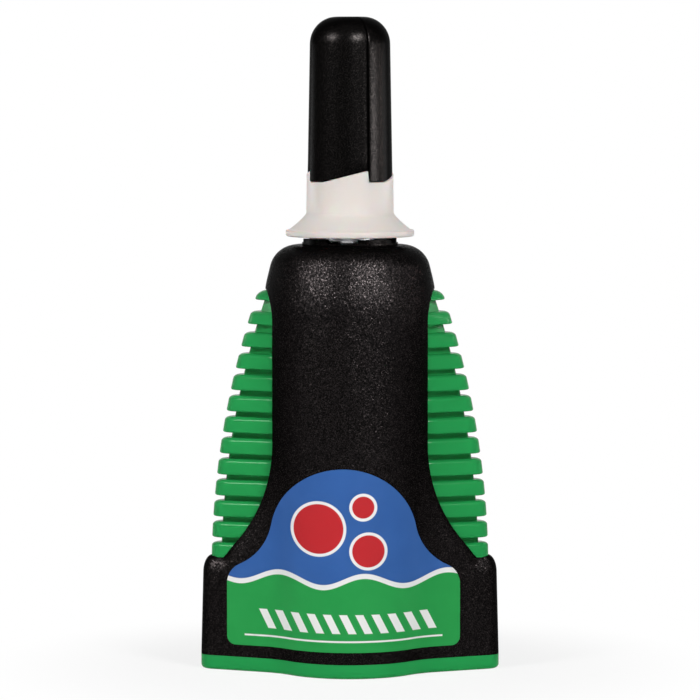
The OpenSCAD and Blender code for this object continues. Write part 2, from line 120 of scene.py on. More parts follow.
# Grips: press flange, hinge tab, web and hinge pin behind the pad
FLANGE_T = 0.9
FLANGE_HALF = 5.0
FLANGE_LOW = RIM_Z + 0.6
FLANGE_TOP = 48.6
TAB_BACK = 0.1
TAB_FRONT = 0.9
TAB_HALF = 1.3
TAB_LOW = 4.2
TAB_TOP = RIM_Z + 2
WEB_BACK = 0.4
WEB_FRONT = 0.8
WEB_HALF = 3.0
WEB_LOW = RIM_Z + 1
WEB_TOP = 48.0
INNER_EDGE = 0.2
HINGE_Z = 5.4
HINGE_SIDES = 32
EYE_R = 1.5
PIN_R = 0.85
PIN_HALF = 3.2

# Base plate and neck ring: rounding of the solids' copies
FOOT_R = 0.55
FOOT_OUTWARD = 0.2
WALL_TILT = 0.3
BASE_EDGE = 0.2
RING_EDGE = 0.1

# Cap and nozzle collar
FINS = 4
QUARTER = 90
FIN_TURN = 26
FIN_EDGE = 1.6
FIN_ROUND = 0.05
EDGE = 0.1
RAMP_FLAT = 26
RAMP_END = 86
RAMP_RISE = 1.5
RAMP_GAP = 0.06
CAP_LOW_R = 5.95
CAP_TOP_R = 5.62
CAP_ROUND_R = 3.75
CAP_FIN_STEP = 0.45
CAP_BORE_R = 4.6
CAP_BORE_H = 5.7
CAP_BORE_TAPER = 2
CAP_HOLLOW_R = 3.85
CAP_ROOF = 2.0
LIP_H = 0.9
LIP_SQUARE = 0.5
LIP_WALL = 1.5
UNDER_STEP = 0.4
UNDER_H = 1.3
FLARE_H = 2.3
FLARE_BEND = 1.3
COLLAR_R = 6.025
SIDE_INSET = 0.05
SIDE_LOW = 1.6
THREAD_R = 3.6
SLEEVE_R = 4.95
SPIGOT_R = 4.5
SPIGOT_H = 3.6
SPOUT_HOLE_R = 2.55

# Stickers
LABEL_HALF = 16.0
LABEL_LOW = 3.7
LABEL_SHIFT = 0.9
LABEL_HEAD_R = 10.0
LABEL_HEAD_Z = 18.8
LABEL_HEAD_END = 88
LABEL_HEAD_TRIM = 0.002
LABEL_NECK_R = 8.0
LABEL_FOOT_TOP = 15.2
LABEL_SHOULDER_R = 3.0
LABEL_CORNER_R = 1.2
LABEL_LIFT = 0.02
LABEL_T = 0.13

# Print on the stickers; a band is its middle and its half width
PRINT_SHARP = 14.0
WAVE_TURN = 0.55
WAVE_RISE = 0.8
WAVE_Z = 13.4
WAVE_LINE = 0.35
SPOTS = (((-3.4, 20.6), 3.4), ((3.4, 17.6), 2.2), ((2.7, 23.6), 1.5))
SPOT_RING = 0.4
STROKE_LEAN = 0.5
STROKE_PITCH = 1.1
STROKE_HALF = 0.55
STROKE_ROW = (7.6, 1.3)
STROKE_ENDS = (4.4, 12.1)
RULE_ROW = (5.2, 0.12)
RULE_ENDS = (0, 13.6)

# Distances under which points are welded
WELD = 0.0005
TURNED_WELD = 0.002
FILM_WELD = 0.0001

# Angles in degrees: an edge below FLAT is dissolved, below SMOOTH shaded smooth, above SHARP rounded
SMOOTH_SHELL = 40
SMOOTH_GRIP = 38
SMOOTH_TURNED = 42
SMOOTH_COPY = 35
SHARP_SHELL = 50
SHARP_COPY = 40
FLAT_COPY = 0.5

# How many steps each curve is drawn in
RIM_STEPS = 9
SWEEP_STEPS = 34
PANEL_STEPS = 14
ARCH_STEPS = 12
EDGE_STEPS = 11
FACE_STEPS = 26
TIP_STEPS = 4
NOSE_STEPS = 9
CONE_STEPS = 10
ROUND_STEPS = 14
TOP_STEPS = 5
BRIDGE_STEPS = 4
FLANK_STEPS = 6
SHARP_STEPS = 4
SOFT_STEPS = 8
FIN_STEPS = 22
SIDE_STEPS = 12
LIP_STEPS = 16
CORNER_STEPS = 6
FOOT_STEPS = 8
NECK_STEPS = 24
HEAD_STEPS = 26
FILM_STEPS = 64

# Stage, in metres and degrees; sheen lamps show only in gloss
FLOOR_SIZE = 3
FLOOR_FADE = (0.022, 0.055)
FLOOR_NEAR_WHITE = 0.8
AMBIENT = 0.18
BOX = {"elevation": 32, "distance": 0.45, "size": (0.12, 0.12), "aim": (0, 0, 0.045)}
SHEEN = {
    "elevation": 29, "distance": 0.45, "size": (0.14, 0.14), "aim": (0, 0, 0.053), "sheen": True,
}
CAP_SHEEN = {
    "elevation": -6, "distance": 0.09, "size": (0.05, 0.03), "aim": (0, 0, 0.082), "sheen": True,
    "beam": 40,
}
CAMERA_ANGLE = 10.13
CAMERA_NEAR = 0.01
CAMERA_PLACE = (0, -0.5435, 0.085)
CAMERA_AIM = (0, 0, 0.04415)


def mix(a, b, t):
    return a + (b - a) * t


def ease(span, value):
    """Goes smoothly from 0 at the span's start to 1 at its end."""
    t = min(max((value - span[0]) / (span[1] - span[0]), 0), 1)
    return t * t * (3 - 2 * t)


def steps(low, high, count):
    return [mix(low, high, i / count) for i in range(count + 1)]


# Shapes of the shell


def barrel_r(z):
    """Barrel radius: a slight taper, then the shoulder's cone with a soft start."""
    share = (min(z, SHOULDER_Z) - BASE_Z) / (SHOULDER_Z - BASE_Z)
    r = BARREL_R - BARREL_TAPER * (1 - share)
    past = z - SHOULDER_Z
    if past > SHOULDER_SOFT:
        return r - SHOULDER_FALL * past
    if past > -SHOULDER_SOFT:
        return r - SHOULDER_FALL * (past + SHOULDER_SOFT) ** 2 / (4 * SHOULDER_SOFT)
    return r


PANEL_X = math.sqrt(barrel_r(SWEEP_Z) ** 2 - WINDOW_HALF ** 2)
SWEEP_END = math.asin((SWEEP_Z - RIM_Z) / SWEEP_R)
CORNER_X = PANEL_X + SWEEP_R * (1 - math.cos(SWEEP_END))


def wing(z):
    """Tip centre, and slope of the straight side, of the wing's plan at height z."""
    centre = SKIRT_HALF - SKIRT_LEAN * (z - BASE_Z) - TIP_R
    away = centre - PANEL_X
    turn = math.atan2(-WING_ROOT, away) + math.asin(TIP_R / math.hypot(away, WING_ROOT))
    return centre, turn


def plan_depth(x, z):
    """Half depth of the shell's plan at x: barrel, hollow blend, then the wing's straight side."""
    r = barrel_r(z)
    ring = math.sqrt(max(r * r - x * x, 0))
    fade = 1 - ease(WING_FADE, z)
    if not fade:
        return ring
    slope = math.tan(wing(z)[1])
    start = WING_ROOT - slope * PANEL_X
    lifted = start + WING_BLEND_R * math.hypot(1, slope)
    a = 1 + slope * slope
    b = slope * lifted
    c = lifted * lifted - (r + WING_BLEND_R) ** 2
    cx = (math.sqrt(b * b - a * c) - b) / a
    cy = lifted + slope * cx
    if x < cx * r / (r + WING_BLEND_R):
        return ring
    if x < cx + WING_BLEND_R * slope / math.hypot(1, slope):
        side = cy - math.sqrt(WING_BLEND_R ** 2 - (x - cx) ** 2)
    else:
        side = start + slope * x
    return mix(ring, side, fade)


def arch_half(z):
    """Half width of a side window at height z."""
    up = z - WINDOW_ARCH_Z
    if up <= 0:
        return WINDOW_HALF + WINDOW_LEAN * (z - SWEEP_Z)
    flat = WINDOW_HALF + WINDOW_LEAN * (WINDOW_ARCH_Z - SWEEP_Z) - WINDOW_ARCH_R
    return flat + math.sqrt(max(WINDOW_ARCH_R ** 2 - up * up, 0))


def edge_x(z):
    """Where the shell's front ends sideways at height z."""
    if z <= RIM_Z:
        return CORNER_X
    if z < SWEEP_Z:
        return PANEL_X + SWEEP_R - math.sqrt(SWEEP_R ** 2 - (SWEEP_Z - z) ** 2)
    return math.sqrt(barrel_r(z) ** 2 - arch_half(z) ** 2)


def edge_distance(x, z):
    """Distance from the free edge: window side, sweep or rim."""
    if z >= SWEEP_Z:
        return edge_x(z) - x
    cx = PANEL_X + SWEEP_R
    turn = min(max(math.atan2(SWEEP_Z - z, cx - x), 0), SWEEP_END)
    gap = math.hypot(cx - SWEEP_R * math.cos(turn) - x, SWEEP_Z - SWEEP_R * math.sin(turn) - z)
    return min(gap, RIM_Z - z) if x >= CORNER_X else gap


def round_over(distance, high, wide):
    """How far a rounded edge falls back at a distance from it, short of its last steep part."""
    rest = 1 - distance / high
    if rest <= 0:
        return 0
    rest *= ROUND_SHARE
    return wide * (1 - math.sqrt(1 - rest * rest))


def skin(x, z):
    """Point of the shell's front face at x and height z."""
    side = abs(x)
    depth = plan_depth(side, z)
    nudge = 0.02
    slope = (plan_depth(side + nudge, z) - plan_depth(side - nudge, z)) / (2 * nudge)
    length = math.hypot(1, slope)
    narrow = ease(WINDOW_FADE, z)
    turn = ease((CORNER_X - SWEEP_TURN, CORNER_X), side)
    high = mix(mix(SWEEP_ROUND_H, RIM_ROUND_H, turn), WINDOW_ROUND_H, narrow)
    wide = mix(mix(SWEEP_ROUND_W, RIM_ROUND_W, turn), WINDOW_ROUND_W, narrow)
    back = round_over(edge_distance(side, z), high, wide)
    return (
        math.copysign(side + slope / length * back * turn, x),
        -depth + back * mix(1, 1 / length, turn),
        z,
    )


def tip_row(z):
    """Points round the wing's end at height z, from its front side to its back."""
    centre, turn = wing(z)
    normal = turn + math.pi / 2
    back = round_over(RIM_Z - z, RIM_ROUND_H, RIM_ROUND_W)
    touch = centre + TIP_R * math.cos(normal)
    front = []
    for x in steps(CORNER_X, touch, TIP_STEPS)[:-1]:
        depth = WING_ROOT + math.tan(turn) * (x - PANEL_X)
        front.append((x - math.cos(normal) * back, depth - math.sin(normal) * back))
    for angle in steps(normal, 0, NOSE_STEPS):
        reach = TIP_R - back
        front.append((centre + reach * math.cos(angle), reach * math.sin(angle)))
    return [(x, -y, z) for x, y in front] + [(x, y, z) for x, y in front[-2::-1]]


# Mesh helpers


def added(name, data):
    """A new object in the scene from a mesh, lamp or camera."""
    made = bpy.data.objects.new(name, data)
    bpy.context.scene.collection.objects.link(made)
    return made


def alone(piece):
    """Makes a piece the only selected and active one."""
    bpy.ops.object.select_all(action="DESELECT")
    piece.select_set(True)
    bpy.context.view_layer.objects.active = piece


def grid(name, rows):
    """A grid primitive whose points are drawn out to rows of places in millimetres."""
    bpy.ops.object.select_all(action="DESELECT")
    bpy.ops.mesh.primitive_grid_add(
        x_subdivisions=len(rows[0]) - 1, y_subdivisions=len(rows) - 1, size=1,
    )
    piece = bpy.context.object
    piece.name = name
    places = [place for row in rows for place in row]
    for point, place in zip(piece.data.vertices, places):
        point.co = Vector(place) * MM
    return piece


def joined(name, pieces, weld=WELD):
    """One piece from several, with their shared points welded."""
    bpy.ops.object.select_all(action="DESELECT")
    for piece in pieces:
        piece.select_set(True)
    bpy.context.view_layer.objects.active = pieces[0]
    if len(pieces) > 1:
        bpy.ops.object.join()
    piece = bpy.context.object
    piece.name = name
    piece.data.name = name
    bpy.ops.object.mode_set(mode="EDIT")
    bpy.ops.mesh.select_all(action="SELECT")
    bpy.ops.mesh.remove_doubles(threshold=weld * MM)
    bpy.ops.object.mode_set(mode="OBJECT")
    return piece


def applied(piece, kind, **settings):
    """Adds a modifier with its settings and applies it."""
    alone(piece)
    modifier = piece.modifiers.new(kind.title(), kind)
    for key, value in settings.items():
        setattr(modifier, key, value)
    bpy.ops.object.modifier_apply(modifier=modifier.name)


def smooth(piece, degrees):
    alone(piece)
    bpy.ops.object.shade_smooth_by_angle(angle=math.radians(degrees))


def turned(rows):
    """The same rows half a turn round the upright axis."""
    return [[(-x, -y, z) for x, y, z in row] for row in rows]


def capped(piece):
    """Closes the open ends of a tube of rows."""
    alone(piece)
    bpy.ops.object.mode_set(mode="EDIT")
    bpy.ops.mesh.select_all(action="DESELECT")
    bpy.ops.mesh.select_mode(type="EDGE")
    bpy.ops.mesh.select_non_manifold()
    bpy.ops.mesh.edge_face_add()
    bpy.ops.mesh.select_mode(type="VERT")
    bpy.ops.object.mode_set(mode="OBJECT")


def block(name, low, high, edge):
    """A cube drawn to two corners, with its edges rounded."""
    middle = [(a + b) / 2 * MM for a, b in zip(low, high)]
    size = [(b - a) * MM for a, b in zip(low, high)]
    bpy.ops.object.select_all(action="DESELECT")
    bpy.ops.mesh.primitive_cube_add(size=1, location=middle)
    piece = bpy.context.object
    piece.name = name
    bpy.ops.object.mode_set(mode="EDIT")
    bpy.ops.mesh.select_all(action="SELECT")
    bpy.ops.transform.resize(value=size, center_override=middle)
    bpy.ops.mesh.bevel(offset=edge * MM, segments=3, affect="EDGES")
    bpy.ops.object.mode_set(mode="OBJECT")
    bpy.ops.object.transform_apply(location=True, rotation=True, scale=True)
    return piece


def round_foot(piece, radius):
    """Rounds the outer edge that a piece stands on."""
    mesh = piece.data
    weight = mesh.attributes.new("bevel_weight_edge", "FLOAT", "EDGE")
    walls = {}
    for face in mesh.polygons:
        if abs(face.normal.z) < WALL_TILT:
            walls.update((key, face.normal.copy()) for key in face.edge_keys)
    for edge in mesh.edges:
        a, b = (mesh.vertices[index].co for index in edge.vertices)
        if edge.key in walls and max(a.z, b.z) < EDGE * MM:
            outward = walls[edge.key].dot(Vector((a.x + b.x, a.y + b.y, 0)).normalized())
            weight.data[edge.index].value = 1.0 if outward > FOOT_OUTWARD else 0.0
    applied(
        piece, "BEVEL", width=radius * MM, segments=5, limit_method="WEIGHT",
        use_clamp_overlap=False, harden_normals=False,
    )


def dressed_copy(node, name, edge, foot=0):
    """A merged copy of a solid with its sharp edges rounded."""
    piece = added(name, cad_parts[node].data.copy())
    piece.data.materials.clear()
    joined(name, [piece])
    bpy.ops.object.mode_set(mode="EDIT")
    bpy.ops.mesh.select_all(action="SELECT")
    bpy.ops.mesh.dissolve_limited(angle_limit=math.radians(FLAT_COPY))
    bpy.ops.object.mode_set(mode="OBJECT")
    if foot:
        round_foot(piece, foot)
    applied(
        piece, "BEVEL", width=edge * MM, segments=3, limit_method="ANGLE",
        angle_limit=math.radians(SHARP_COPY), use_clamp_overlap=True, harden_normals=False,
    )
    smooth(piece, SMOOTH_COPY)
    return piece


# Pieces


def shell_rows():
    """Heights of the front panel's rows, close together at the rim and the window's arch."""
    low = [BASE_Z + rise for rise in FOOT_ROWS] + list(SKIRT_ROWS)
    rim = [
        RIM_Z - RIM_ROUND_H * (1 - i / RIM_STEPS) ** RIM_CROWD for i in range(RIM_STEPS + 1)
    ]
    sweep = steps(RIM_Z, SWEEP_Z, SWEEP_STEPS)[1:]
    panel = steps(SWEEP_Z, WINDOW_ARCH_Z, PANEL_STEPS)[1:]
    arch = [
        WINDOW_ARCH_Z + WINDOW_ARCH_R * math.sin(math.radians(angle))
        for angle in steps(0, 90, ARCH_STEPS)[1:]
    ]
    return low + rim, sweep + panel + arch


def panel_row(z):
    """One row of the front panel, with its columns close together near the free edge."""
    edge = edge_x(z)
    slant = 1.0
    if RIM_Z < z < SWEEP_Z:
        slant = 1 / math.cos(math.asin((SWEEP_Z - z) / SWEEP_R))
    elif z <= RIM_Z:
        slant = 1 / math.cos(SWEEP_END)
    near = [
        edge - EDGE_BAND * slant * (i / EDGE_STEPS) ** EDGE_CROWD for i in range(EDGE_STEPS + 1)
    ]
    half = near + steps(near[-1], 0, FACE_STEPS)[1:]
    xs = [-x for x in half] + half[-2::-1]
    return [skin(x, z) for x in xs]


def shoulder_rings(first):
    """Closed rings from the window's top over the shoulder to the neck hole."""
    angles = [math.atan2(y, x) for x, y, _ in first]
    start = math.atan(SHOULDER_FALL)
    arc_z = SHELL_TOP - SHOULDER_R
    arc_x = barrel_r(arc_z) - SHOULDER_R / math.cos(start)
    cone = steps(WINDOW_TOP, arc_z + SHOULDER_R * math.sin(start), CONE_STEPS)[1:]
    profile = [(barrel_r(z), z) for z in cone]
    profile += [
        (arc_x + SHOULDER_R * math.cos(angle), arc_z + SHOULDER_R * math.sin(angle))
        for angle in steps(start, math.pi / 2, ROUND_STEPS)[1:]
    ]
    profile += [(r, SHELL_TOP) for r in steps(arc_x, NECK_HOLE_R, TOP_STEPS)[1:]]
    rings = [[(r * math.cos(a), r * math.sin(a), z) for a in angles] for r, z in profile]
    return [first] + rings


def moulded_shell():
    """Black shell: two panels, two wing ends and the shoulder, welded, then given its wall."""
    low, high = shell_rows()
    panel = [panel_row(z) for z in low + high]
    tip = [tip_row(z) for z in low]
    top = panel[-1]
    x, y, z = top[-1]
    reach, turn = math.hypot(x, y), math.atan2(y, x)
    bridge = [
        (reach * math.cos(a), reach * math.sin(a), z)
        for a in steps(turn, -turn, BRIDGE_STEPS)[1:-1]
    ]
    first = top + bridge + turned([top])[0] + turned([bridge])[0]
    first.append(first[0])
    parts = [
        grid("front", panel),
        grid("back", turned(panel)),
        grid("right", tip),
        grid("left", turned(tip)),
        grid("shoulder", shoulder_rings(first)),
    ]
    piece = joined("moulded_shell", parts)
    applied(piece, "SOLIDIFY", thickness=SHELL_WALL * MM, offset=-1, use_even_offset=False)
    applied(
        piece, "BEVEL", width=SHELL_EDGE * MM, segments=2, limit_method="ANGLE",
        angle_limit=math.radians(SHARP_SHELL),
    )
    smooth(piece, SMOOTH_SHELL)
    return piece


def crest_x(z):
    """How far out the grip's ribs reach at height z: one wide arc."""
    high = WINDOW_TOP - CREST_LOW_Z
    fall = CREST_LOW - CREST_TOP
    r = (high * high + fall * fall) / (2 * fall)
    return CREST_LOW - r + math.sqrt(r * r - (z - CREST_LOW_Z) ** 2)


def rib_loop(z, inset, root_inset=None):
    """Closed plan of the grip at height z, drawn in by inset: straight flanks and a round nose."""
    root = min(GRIP_ROOT, arch_half(z) - GRIP_GAP) - (inset if root_inset is None else root_inset)
    root = max(root, ROOT_MIN)
    share = max((z - CREST_LOW_Z) / (WINDOW_TOP - CREST_LOW_Z), 0)
    r = mix(RIB_TIP_R[1], RIB_TIP_R[0], math.sqrt(share)) - inset
    r = min(max(r, RIB_TIP_R[1] / 2), root)
    cx = crest_x(z) - inset - r
    start = min(PANEL_X, cx - FLANK_MIN)
    away = cx - start
    turn = math.atan2(-root, away) + math.asin(min(r / math.hypot(away, root), 1))
    normal = turn + math.pi / 2
    touch = (cx + r * math.cos(normal), r * math.sin(normal))
    along = steps(0, 1, FLANK_STEPS)[:-1]
    flank = [(mix(start, touch[0], t), mix(root, touch[1], t)) for t in along]
    nose = [(cx + r * math.cos(a), r * math.sin(a)) for a in steps(normal, 0, NOSE_STEPS)]
    half = [(GRIP_BACK_X, root)] + flank + nose
    loop = [(x, -y, z) for x, y in half] + [(x, y, z) for x, y in half[-2::-1]]
    return loop + [loop[0]]


def grip_rows():
    """Rows up the grip: ribs with a crisp lower edge and a soft upper one, and grooves between."""
    rows = []
    for i in range(RIB_COUNT - 1, -1, -1):
        top = RIB_TOP_Z - RIB_PITCH * i
        low = top - mix(RIB_H[1], RIB_H[0], RIB_H_FADE ** i)
        rows.append(rib_loop(low, RIB_DEPTH, RIB_DEPTH if i else TOP_GROOVE))
        for angle in steps(0, math.pi / 2, SHARP_STEPS):
            rise = RIB_SHARP * (1 - math.cos(angle))
            rows.append(rib_loop(low + rise, RIB_SHARP * (1 - math.sin(angle))))
        high, wide = (RIB_SOFT_H, RIB_SOFT_W) if i else (TOP_SOFT_H, TOP_SOFT_W)
        for angle in steps(0, math.pi / 2, SOFT_STEPS):
            fall = high * (1 - math.sin(angle))
            rows.append(rib_loop(top - fall, wide * (1 - math.cos(angle))))
        if i:
            rows.append(rib_loop(top, RIB_DEPTH, RIB_DEPTH if i > 1 else TOP_GROOVE))
    return rows


def ribbed_grip(name, node, left):
    """Green grip: ribbed pad, press flange, web, hinge tab and hinge pin."""
    low, high = (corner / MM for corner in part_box(node))
    back = min(abs(low.x), abs(high.x))
    rows = grip_rows()
    pad = joined("pad", [grid("pad", turned(rows) if left else rows)])
    capped(pad)
    parts = [pad]
    flange = ((back, -FLANGE_HALF, FLANGE_LOW), (back + FLANGE_T, FLANGE_HALF, FLANGE_TOP))
    tab = ((back + TAB_BACK, -TAB_HALF, TAB_LOW), (PANEL_X + TAB_FRONT, TAB_HALF, TAB_TOP))
    web = ((back + WEB_BACK, -WEB_HALF, WEB_LOW), (GRIP_BACK_X + WEB_FRONT, WEB_HALF, WEB_TOP))
    for number, (a, b) in enumerate((flange, tab, web)):
        if left:
            a, b = (-b[0], a[1], a[2]), (-a[0], b[1], b[2])
        parts.append(block(f"inner_{number}", a, b, INNER_EDGE))
    for radius, half in ((EYE_R, TAB_HALF), (PIN_R, PIN_HALF)):
        bpy.ops.object.select_all(action="DESELECT")
        bpy.ops.mesh.primitive_cylinder_add(
            radius=radius * MM, depth=2 * half * MM, vertices=HINGE_SIDES,
            rotation=(math.pi / 2, 0, 0),
            location=((-1 if left else 1) * PANEL_X * MM, 0, HINGE_Z * MM),
        )
        bpy.ops.object.transform_apply(location=True, rotation=True, scale=True)
        parts.append(bpy.context.object)
    piece = joined(name, parts)
    smooth(piece, SMOOTH_GRIP)
    return piece


def fin_columns():
    """Angles round the cap or collar, a quarter at a time: turn from +X, and angle past the fin."""
    columns = []
    for fin in range(FINS):
        start = FIN_TURN - QUARTER + QUARTER * fin
        face = steps(FIN_EDGE, QUARTER - FIN_EDGE, FIN_STEPS)[1:]
        for past in [0, FIN_EDGE / 2, FIN_EDGE] + face + [QUARTER]:
            columns.append((math.radians(start + past), past))
    return columns


def ramp(past):
    """Height of the ramps' edge at an angle past a fin."""
    return RAMP_RISE * min(max((past - RAMP_FLAT) / (RAMP_END - RAMP_FLAT), 0), 1)


def turned_piece(name, column):
    """Closed turned piece whose profile may change from column to column round it."""
    lines = [
        [(r * math.cos(turn), r * math.sin(turn), z) for r, z in column(past)]
        for turn, past in fin_columns()
    ]
    rows = [[line[i] for line in lines + lines[:1]] for i in range(len(lines[0]))]
    piece = joined(name, [grid(name, rows)], TURNED_WELD)
    smooth(piece, SMOOTH_TURNED)
    return piece


def finned_cap():
    """Black cap: four faces that each step down to the next fin, ramps below and a round top."""
    low, high = (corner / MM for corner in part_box("cap"))
    bore_top = low.z + CAP_BORE_H
    roof = high.z - CAP_ROOF
    round_z = high.z - CAP_ROUND_R

    def column(past):
        swing = CAP_FIN_STEP / 2 * math.cos(math.radians(past + QUARTER / 2))
        shift = swing / math.cos(math.radians(QUARTER / 2))
        if past == 0:
            shift -= FIN_ROUND
        elif past == FIN_EDGE / 2:
            shift -= FIN_ROUND / 4
        edge = low.z + ramp(past)
        foot = CAP_LOW_R + shift
        side = [
            (mix(foot, CAP_TOP_R + shift, (z - low.z) / (round_z - low.z)), z)
            for z in steps(edge + EDGE, round_z, SIDE_STEPS)
        ]
        crown = []
        for angle in steps(0, math.pi / 2, ROUND_STEPS)[1:]:
            lift = math.cos(angle)
            crown.append((
                CAP_TOP_R - CAP_ROUND_R + shift * lift + CAP_ROUND_R * lift,
                round_z + CAP_ROUND_R * math.sin(angle),
            ))
        inner = [
            (0, roof), (CAP_HOLLOW_R, roof),
            (CAP_HOLLOW_R, bore_top + CAP_BORE_TAPER), (CAP_BORE_R, bore_top),
        ]
        lip = [(CAP_BORE_R, edge + EDGE), (CAP_BORE_R + EDGE, edge), (foot - EDGE, edge)]
        return inner + lip + side + crown + [(0, high.z)]

    return turned_piece("finned_cap", column)


def flanged_collar():
    """Milky collar: flange with a lip, hollow flare, plain barrel, four ramps and the spigot."""
    low, high = (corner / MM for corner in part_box("nozzle_collar"))
    ramp_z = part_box("cap")[0].z / MM
    step_z, under_z = low.z + UNDER_STEP, low.z + UNDER_H
    flare_z = low.z + LIP_H
    spigot_z = high.z - SPIGOT_H
    flange_r = high.x
    lip_in = flange_r - LIP_WALL
    flare_w = flange_r - LIP_H / 2 - COLLAR_R
    side_r = COLLAR_R - SIDE_INSET

    def column(past):
        edge = ramp_z - RAMP_GAP + ramp(past if past < QUARTER - FIN_EDGE / 2 else 0)
        under = [
            (THREAD_R, step_z), (SLEEVE_R, step_z), (SLEEVE_R, under_z),
            (lip_in, under_z), (lip_in, low.z + EDGE), (lip_in + EDGE, low.z),
        ]
        lip = [
            (flange_r - LIP_H / 2 * (1 - math.cos(a) ** LIP_SQUARE),
             low.z + LIP_H / 2 * (1 + math.copysign(abs(math.sin(a)) ** LIP_SQUARE, a)))
            for a in steps(-math.pi / 2, math.pi / 2, LIP_STEPS)
        ]
        flare = [
            (COLLAR_R + flare_w * (1 - t) ** FLARE_BEND, flare_z + FLARE_H * t)
            for t in steps(0, 1, ROUND_STEPS)[1:]
        ]
        side = [(side_r, ramp_z - SIDE_LOW), (side_r, edge - EDGE), (side_r - EDGE, edge)]
        spigot = [
            (SPIGOT_R, edge), (SPIGOT_R, high.z - EDGE), (SPIGOT_R - EDGE, high.z),
            (SPOUT_HOLE_R, high.z), (SPOUT_HOLE_R, spigot_z), (THREAD_R, spigot_z),
        ]
        return under + lip + flare + side + spigot + under[:1]

    return turned_piece("flanged_collar", column)


def sticker_half(z):
    """Half width of the sticker at height z: round head, hollow neck, round-cornered foot."""
    head = (0.0, LABEL_HEAD_Z)
    shoulder = (LABEL_HALF - LABEL_SHOULDER_R, LABEL_FOOT_TOP - LABEL_SHOULDER_R)
    a, b = LABEL_HEAD_R + LABEL_NECK_R, LABEL_SHOULDER_R + LABEL_NECK_R
    dx, dz = shoulder[0] - head[0], shoulder[1] - head[1]
    apart = math.hypot(dx, dz)
    along = (a * a - b * b + apart * apart) / (2 * apart)
    off = math.sqrt(a * a - along * along)
    neck = (head[0] + (dx * along - dz * off) / apart, head[1] + (dz * along + dx * off) / apart)
    head_end = mix(head[1], neck[1], LABEL_HEAD_R / a)
    shoulder_end = mix(shoulder[1], neck[1], LABEL_SHOULDER_R / b)
    if z >= head_end:
        return math.sqrt(max(LABEL_HEAD_R ** 2 - (z - head[1]) ** 2, 0))
    if z >= shoulder_end:
        return neck[0] - math.sqrt(LABEL_NECK_R ** 2 - (neck[1] - z) ** 2)
    if z >= shoulder[1]:
        return shoulder[0] + math.sqrt(LABEL_SHOULDER_R ** 2 - (z - shoulder[1]) ** 2)
    under = LABEL_LOW + LABEL_CORNER_R - z
    if under <= 0:
        return LABEL_HALF
    return LABEL_HALF - LABEL_CORNER_R + math.sqrt(max(LABEL_CORNER_R ** 2 - under * under, 0))


def sticker(name, back):
    """Thin film that follows the shell's front or back."""
    head_top = LABEL_HEAD_Z + LABEL_HEAD_R
    foot_top = LABEL_FOOT_TOP - LABEL_SHOULDER_R
    zs = [LABEL_LOW + LABEL_CORNER_R * (i / CORNER_STEPS) ** 2 for i in range(CORNER_STEPS)]
    zs += steps(LABEL_LOW + LABEL_CORNER_R, foot_top, FOOT_STEPS)
    zs += steps(foot_top, LABEL_HEAD_Z, NECK_STEPS)[1:]
    head = steps(0, math.radians(LABEL_HEAD_END), HEAD_STEPS)[1:]
    zs += [LABEL_HEAD_Z + LABEL_HEAD_R * math.sin(a) for a in head]
    rows = []
    for z in zs:
        half = sticker_half(min(z, head_top - LABEL_HEAD_TRIM))
        row = []
        for t in steps(-1, 1, FILM_STEPS):
            x, y, _ = skin(t * half - LABEL_SHIFT, z)
            row.append((x, y - LABEL_LIFT, z))
        rows.append(row)
    piece = joined(name, [grid(name, turned(rows) if back else rows)], FILM_WELD)
    applied(piece, "SOLIDIFY", thickness=LABEL_T * MM, offset=1, use_even_offset=False)
    smooth(piece, SMOOTH_SHELL)
    return piece


# Materials


def plug(tree, socket, value):
    """Links a socket to another one, or sets its value."""
    if isinstance(value, bpy.types.NodeSocket):
        tree.links.new(value, socket)
    else:
        socket.default_value = value


def node(tree, kind, inputs=None, **settings):
    """Adds a shader node with its settings, values and links."""
    made = tree.nodes.new("ShaderNode" + kind)
    for key, value in settings.items():
        setattr(made, key, value)
    for key, value in (inputs or {}).items():
        plug(tree, made.inputs[key], value)
    return made


def calc(tree, operation, a, b=0.0, c=None, clamp=False):
    """A math step on one to three values."""
    inputs = {0: a, 1: b}
    if c is not None:
        inputs[2] = c
    return node(tree, "Math", inputs, operation=operation, use_clamp=clamp).outputs[0]


def spread(tree, value, low, high):
    """Spreads a value from 0..1 to low..high."""
    return node(tree, "MapRange", {"Value": value, "To Min": low, "To Max": high}).outputs[0]


def tint(tree, share, a, b):
    """Mixes two colours by a share."""
    made = node(tree, "Mix", {0: share}, data_type="RGBA")
    for index, value in ((6, a), (7, b)):
        linked = isinstance(value, bpy.types.NodeSocket)
        plug(tree, made.inputs[index], value if linked else (*value, 1))
    return made.outputs[2]


def noise(tree, place, scale, detail=2.0, rough=0.5):
    inputs = {"Vector": place, "Scale": scale, "Detail": detail, "Roughness": rough}
    return node(tree, "TexNoise", inputs).outputs["Fac"]


def bump(tree, height, strength, distance, under=None):
    inputs = {"Height": height, "Strength": strength, "Distance": distance}
    if under is not None:
        inputs["Normal"] = under
    return node(tree, "Bump", inputs).outputs["Normal"]


def bare_tree(owner):
    """The emptied node tree of a material or world."""
    owner.use_nodes = True
    owner.node_tree.nodes.clear()
    return owner.node_tree


def blank(name):
    """A new material with a bare shader: the material, its tree, the shader and object places."""
    made = bpy.data.materials.new(name)
    tree = bare_tree(made)
    shader = node(tree, "BsdfPrincipled")
    node(tree, "OutputMaterial", {"Surface": shader.outputs[0]})
    place = node(tree, "TexCoord").outputs["Object"]
    return made, tree, shader, place


def feed(tree, shader, **values):
    """Links or sets the shader's sockets by name, with _ for a space."""
    for key, value in values.items():
        plug(tree, shader.inputs[key.replace("_", " ")], value)


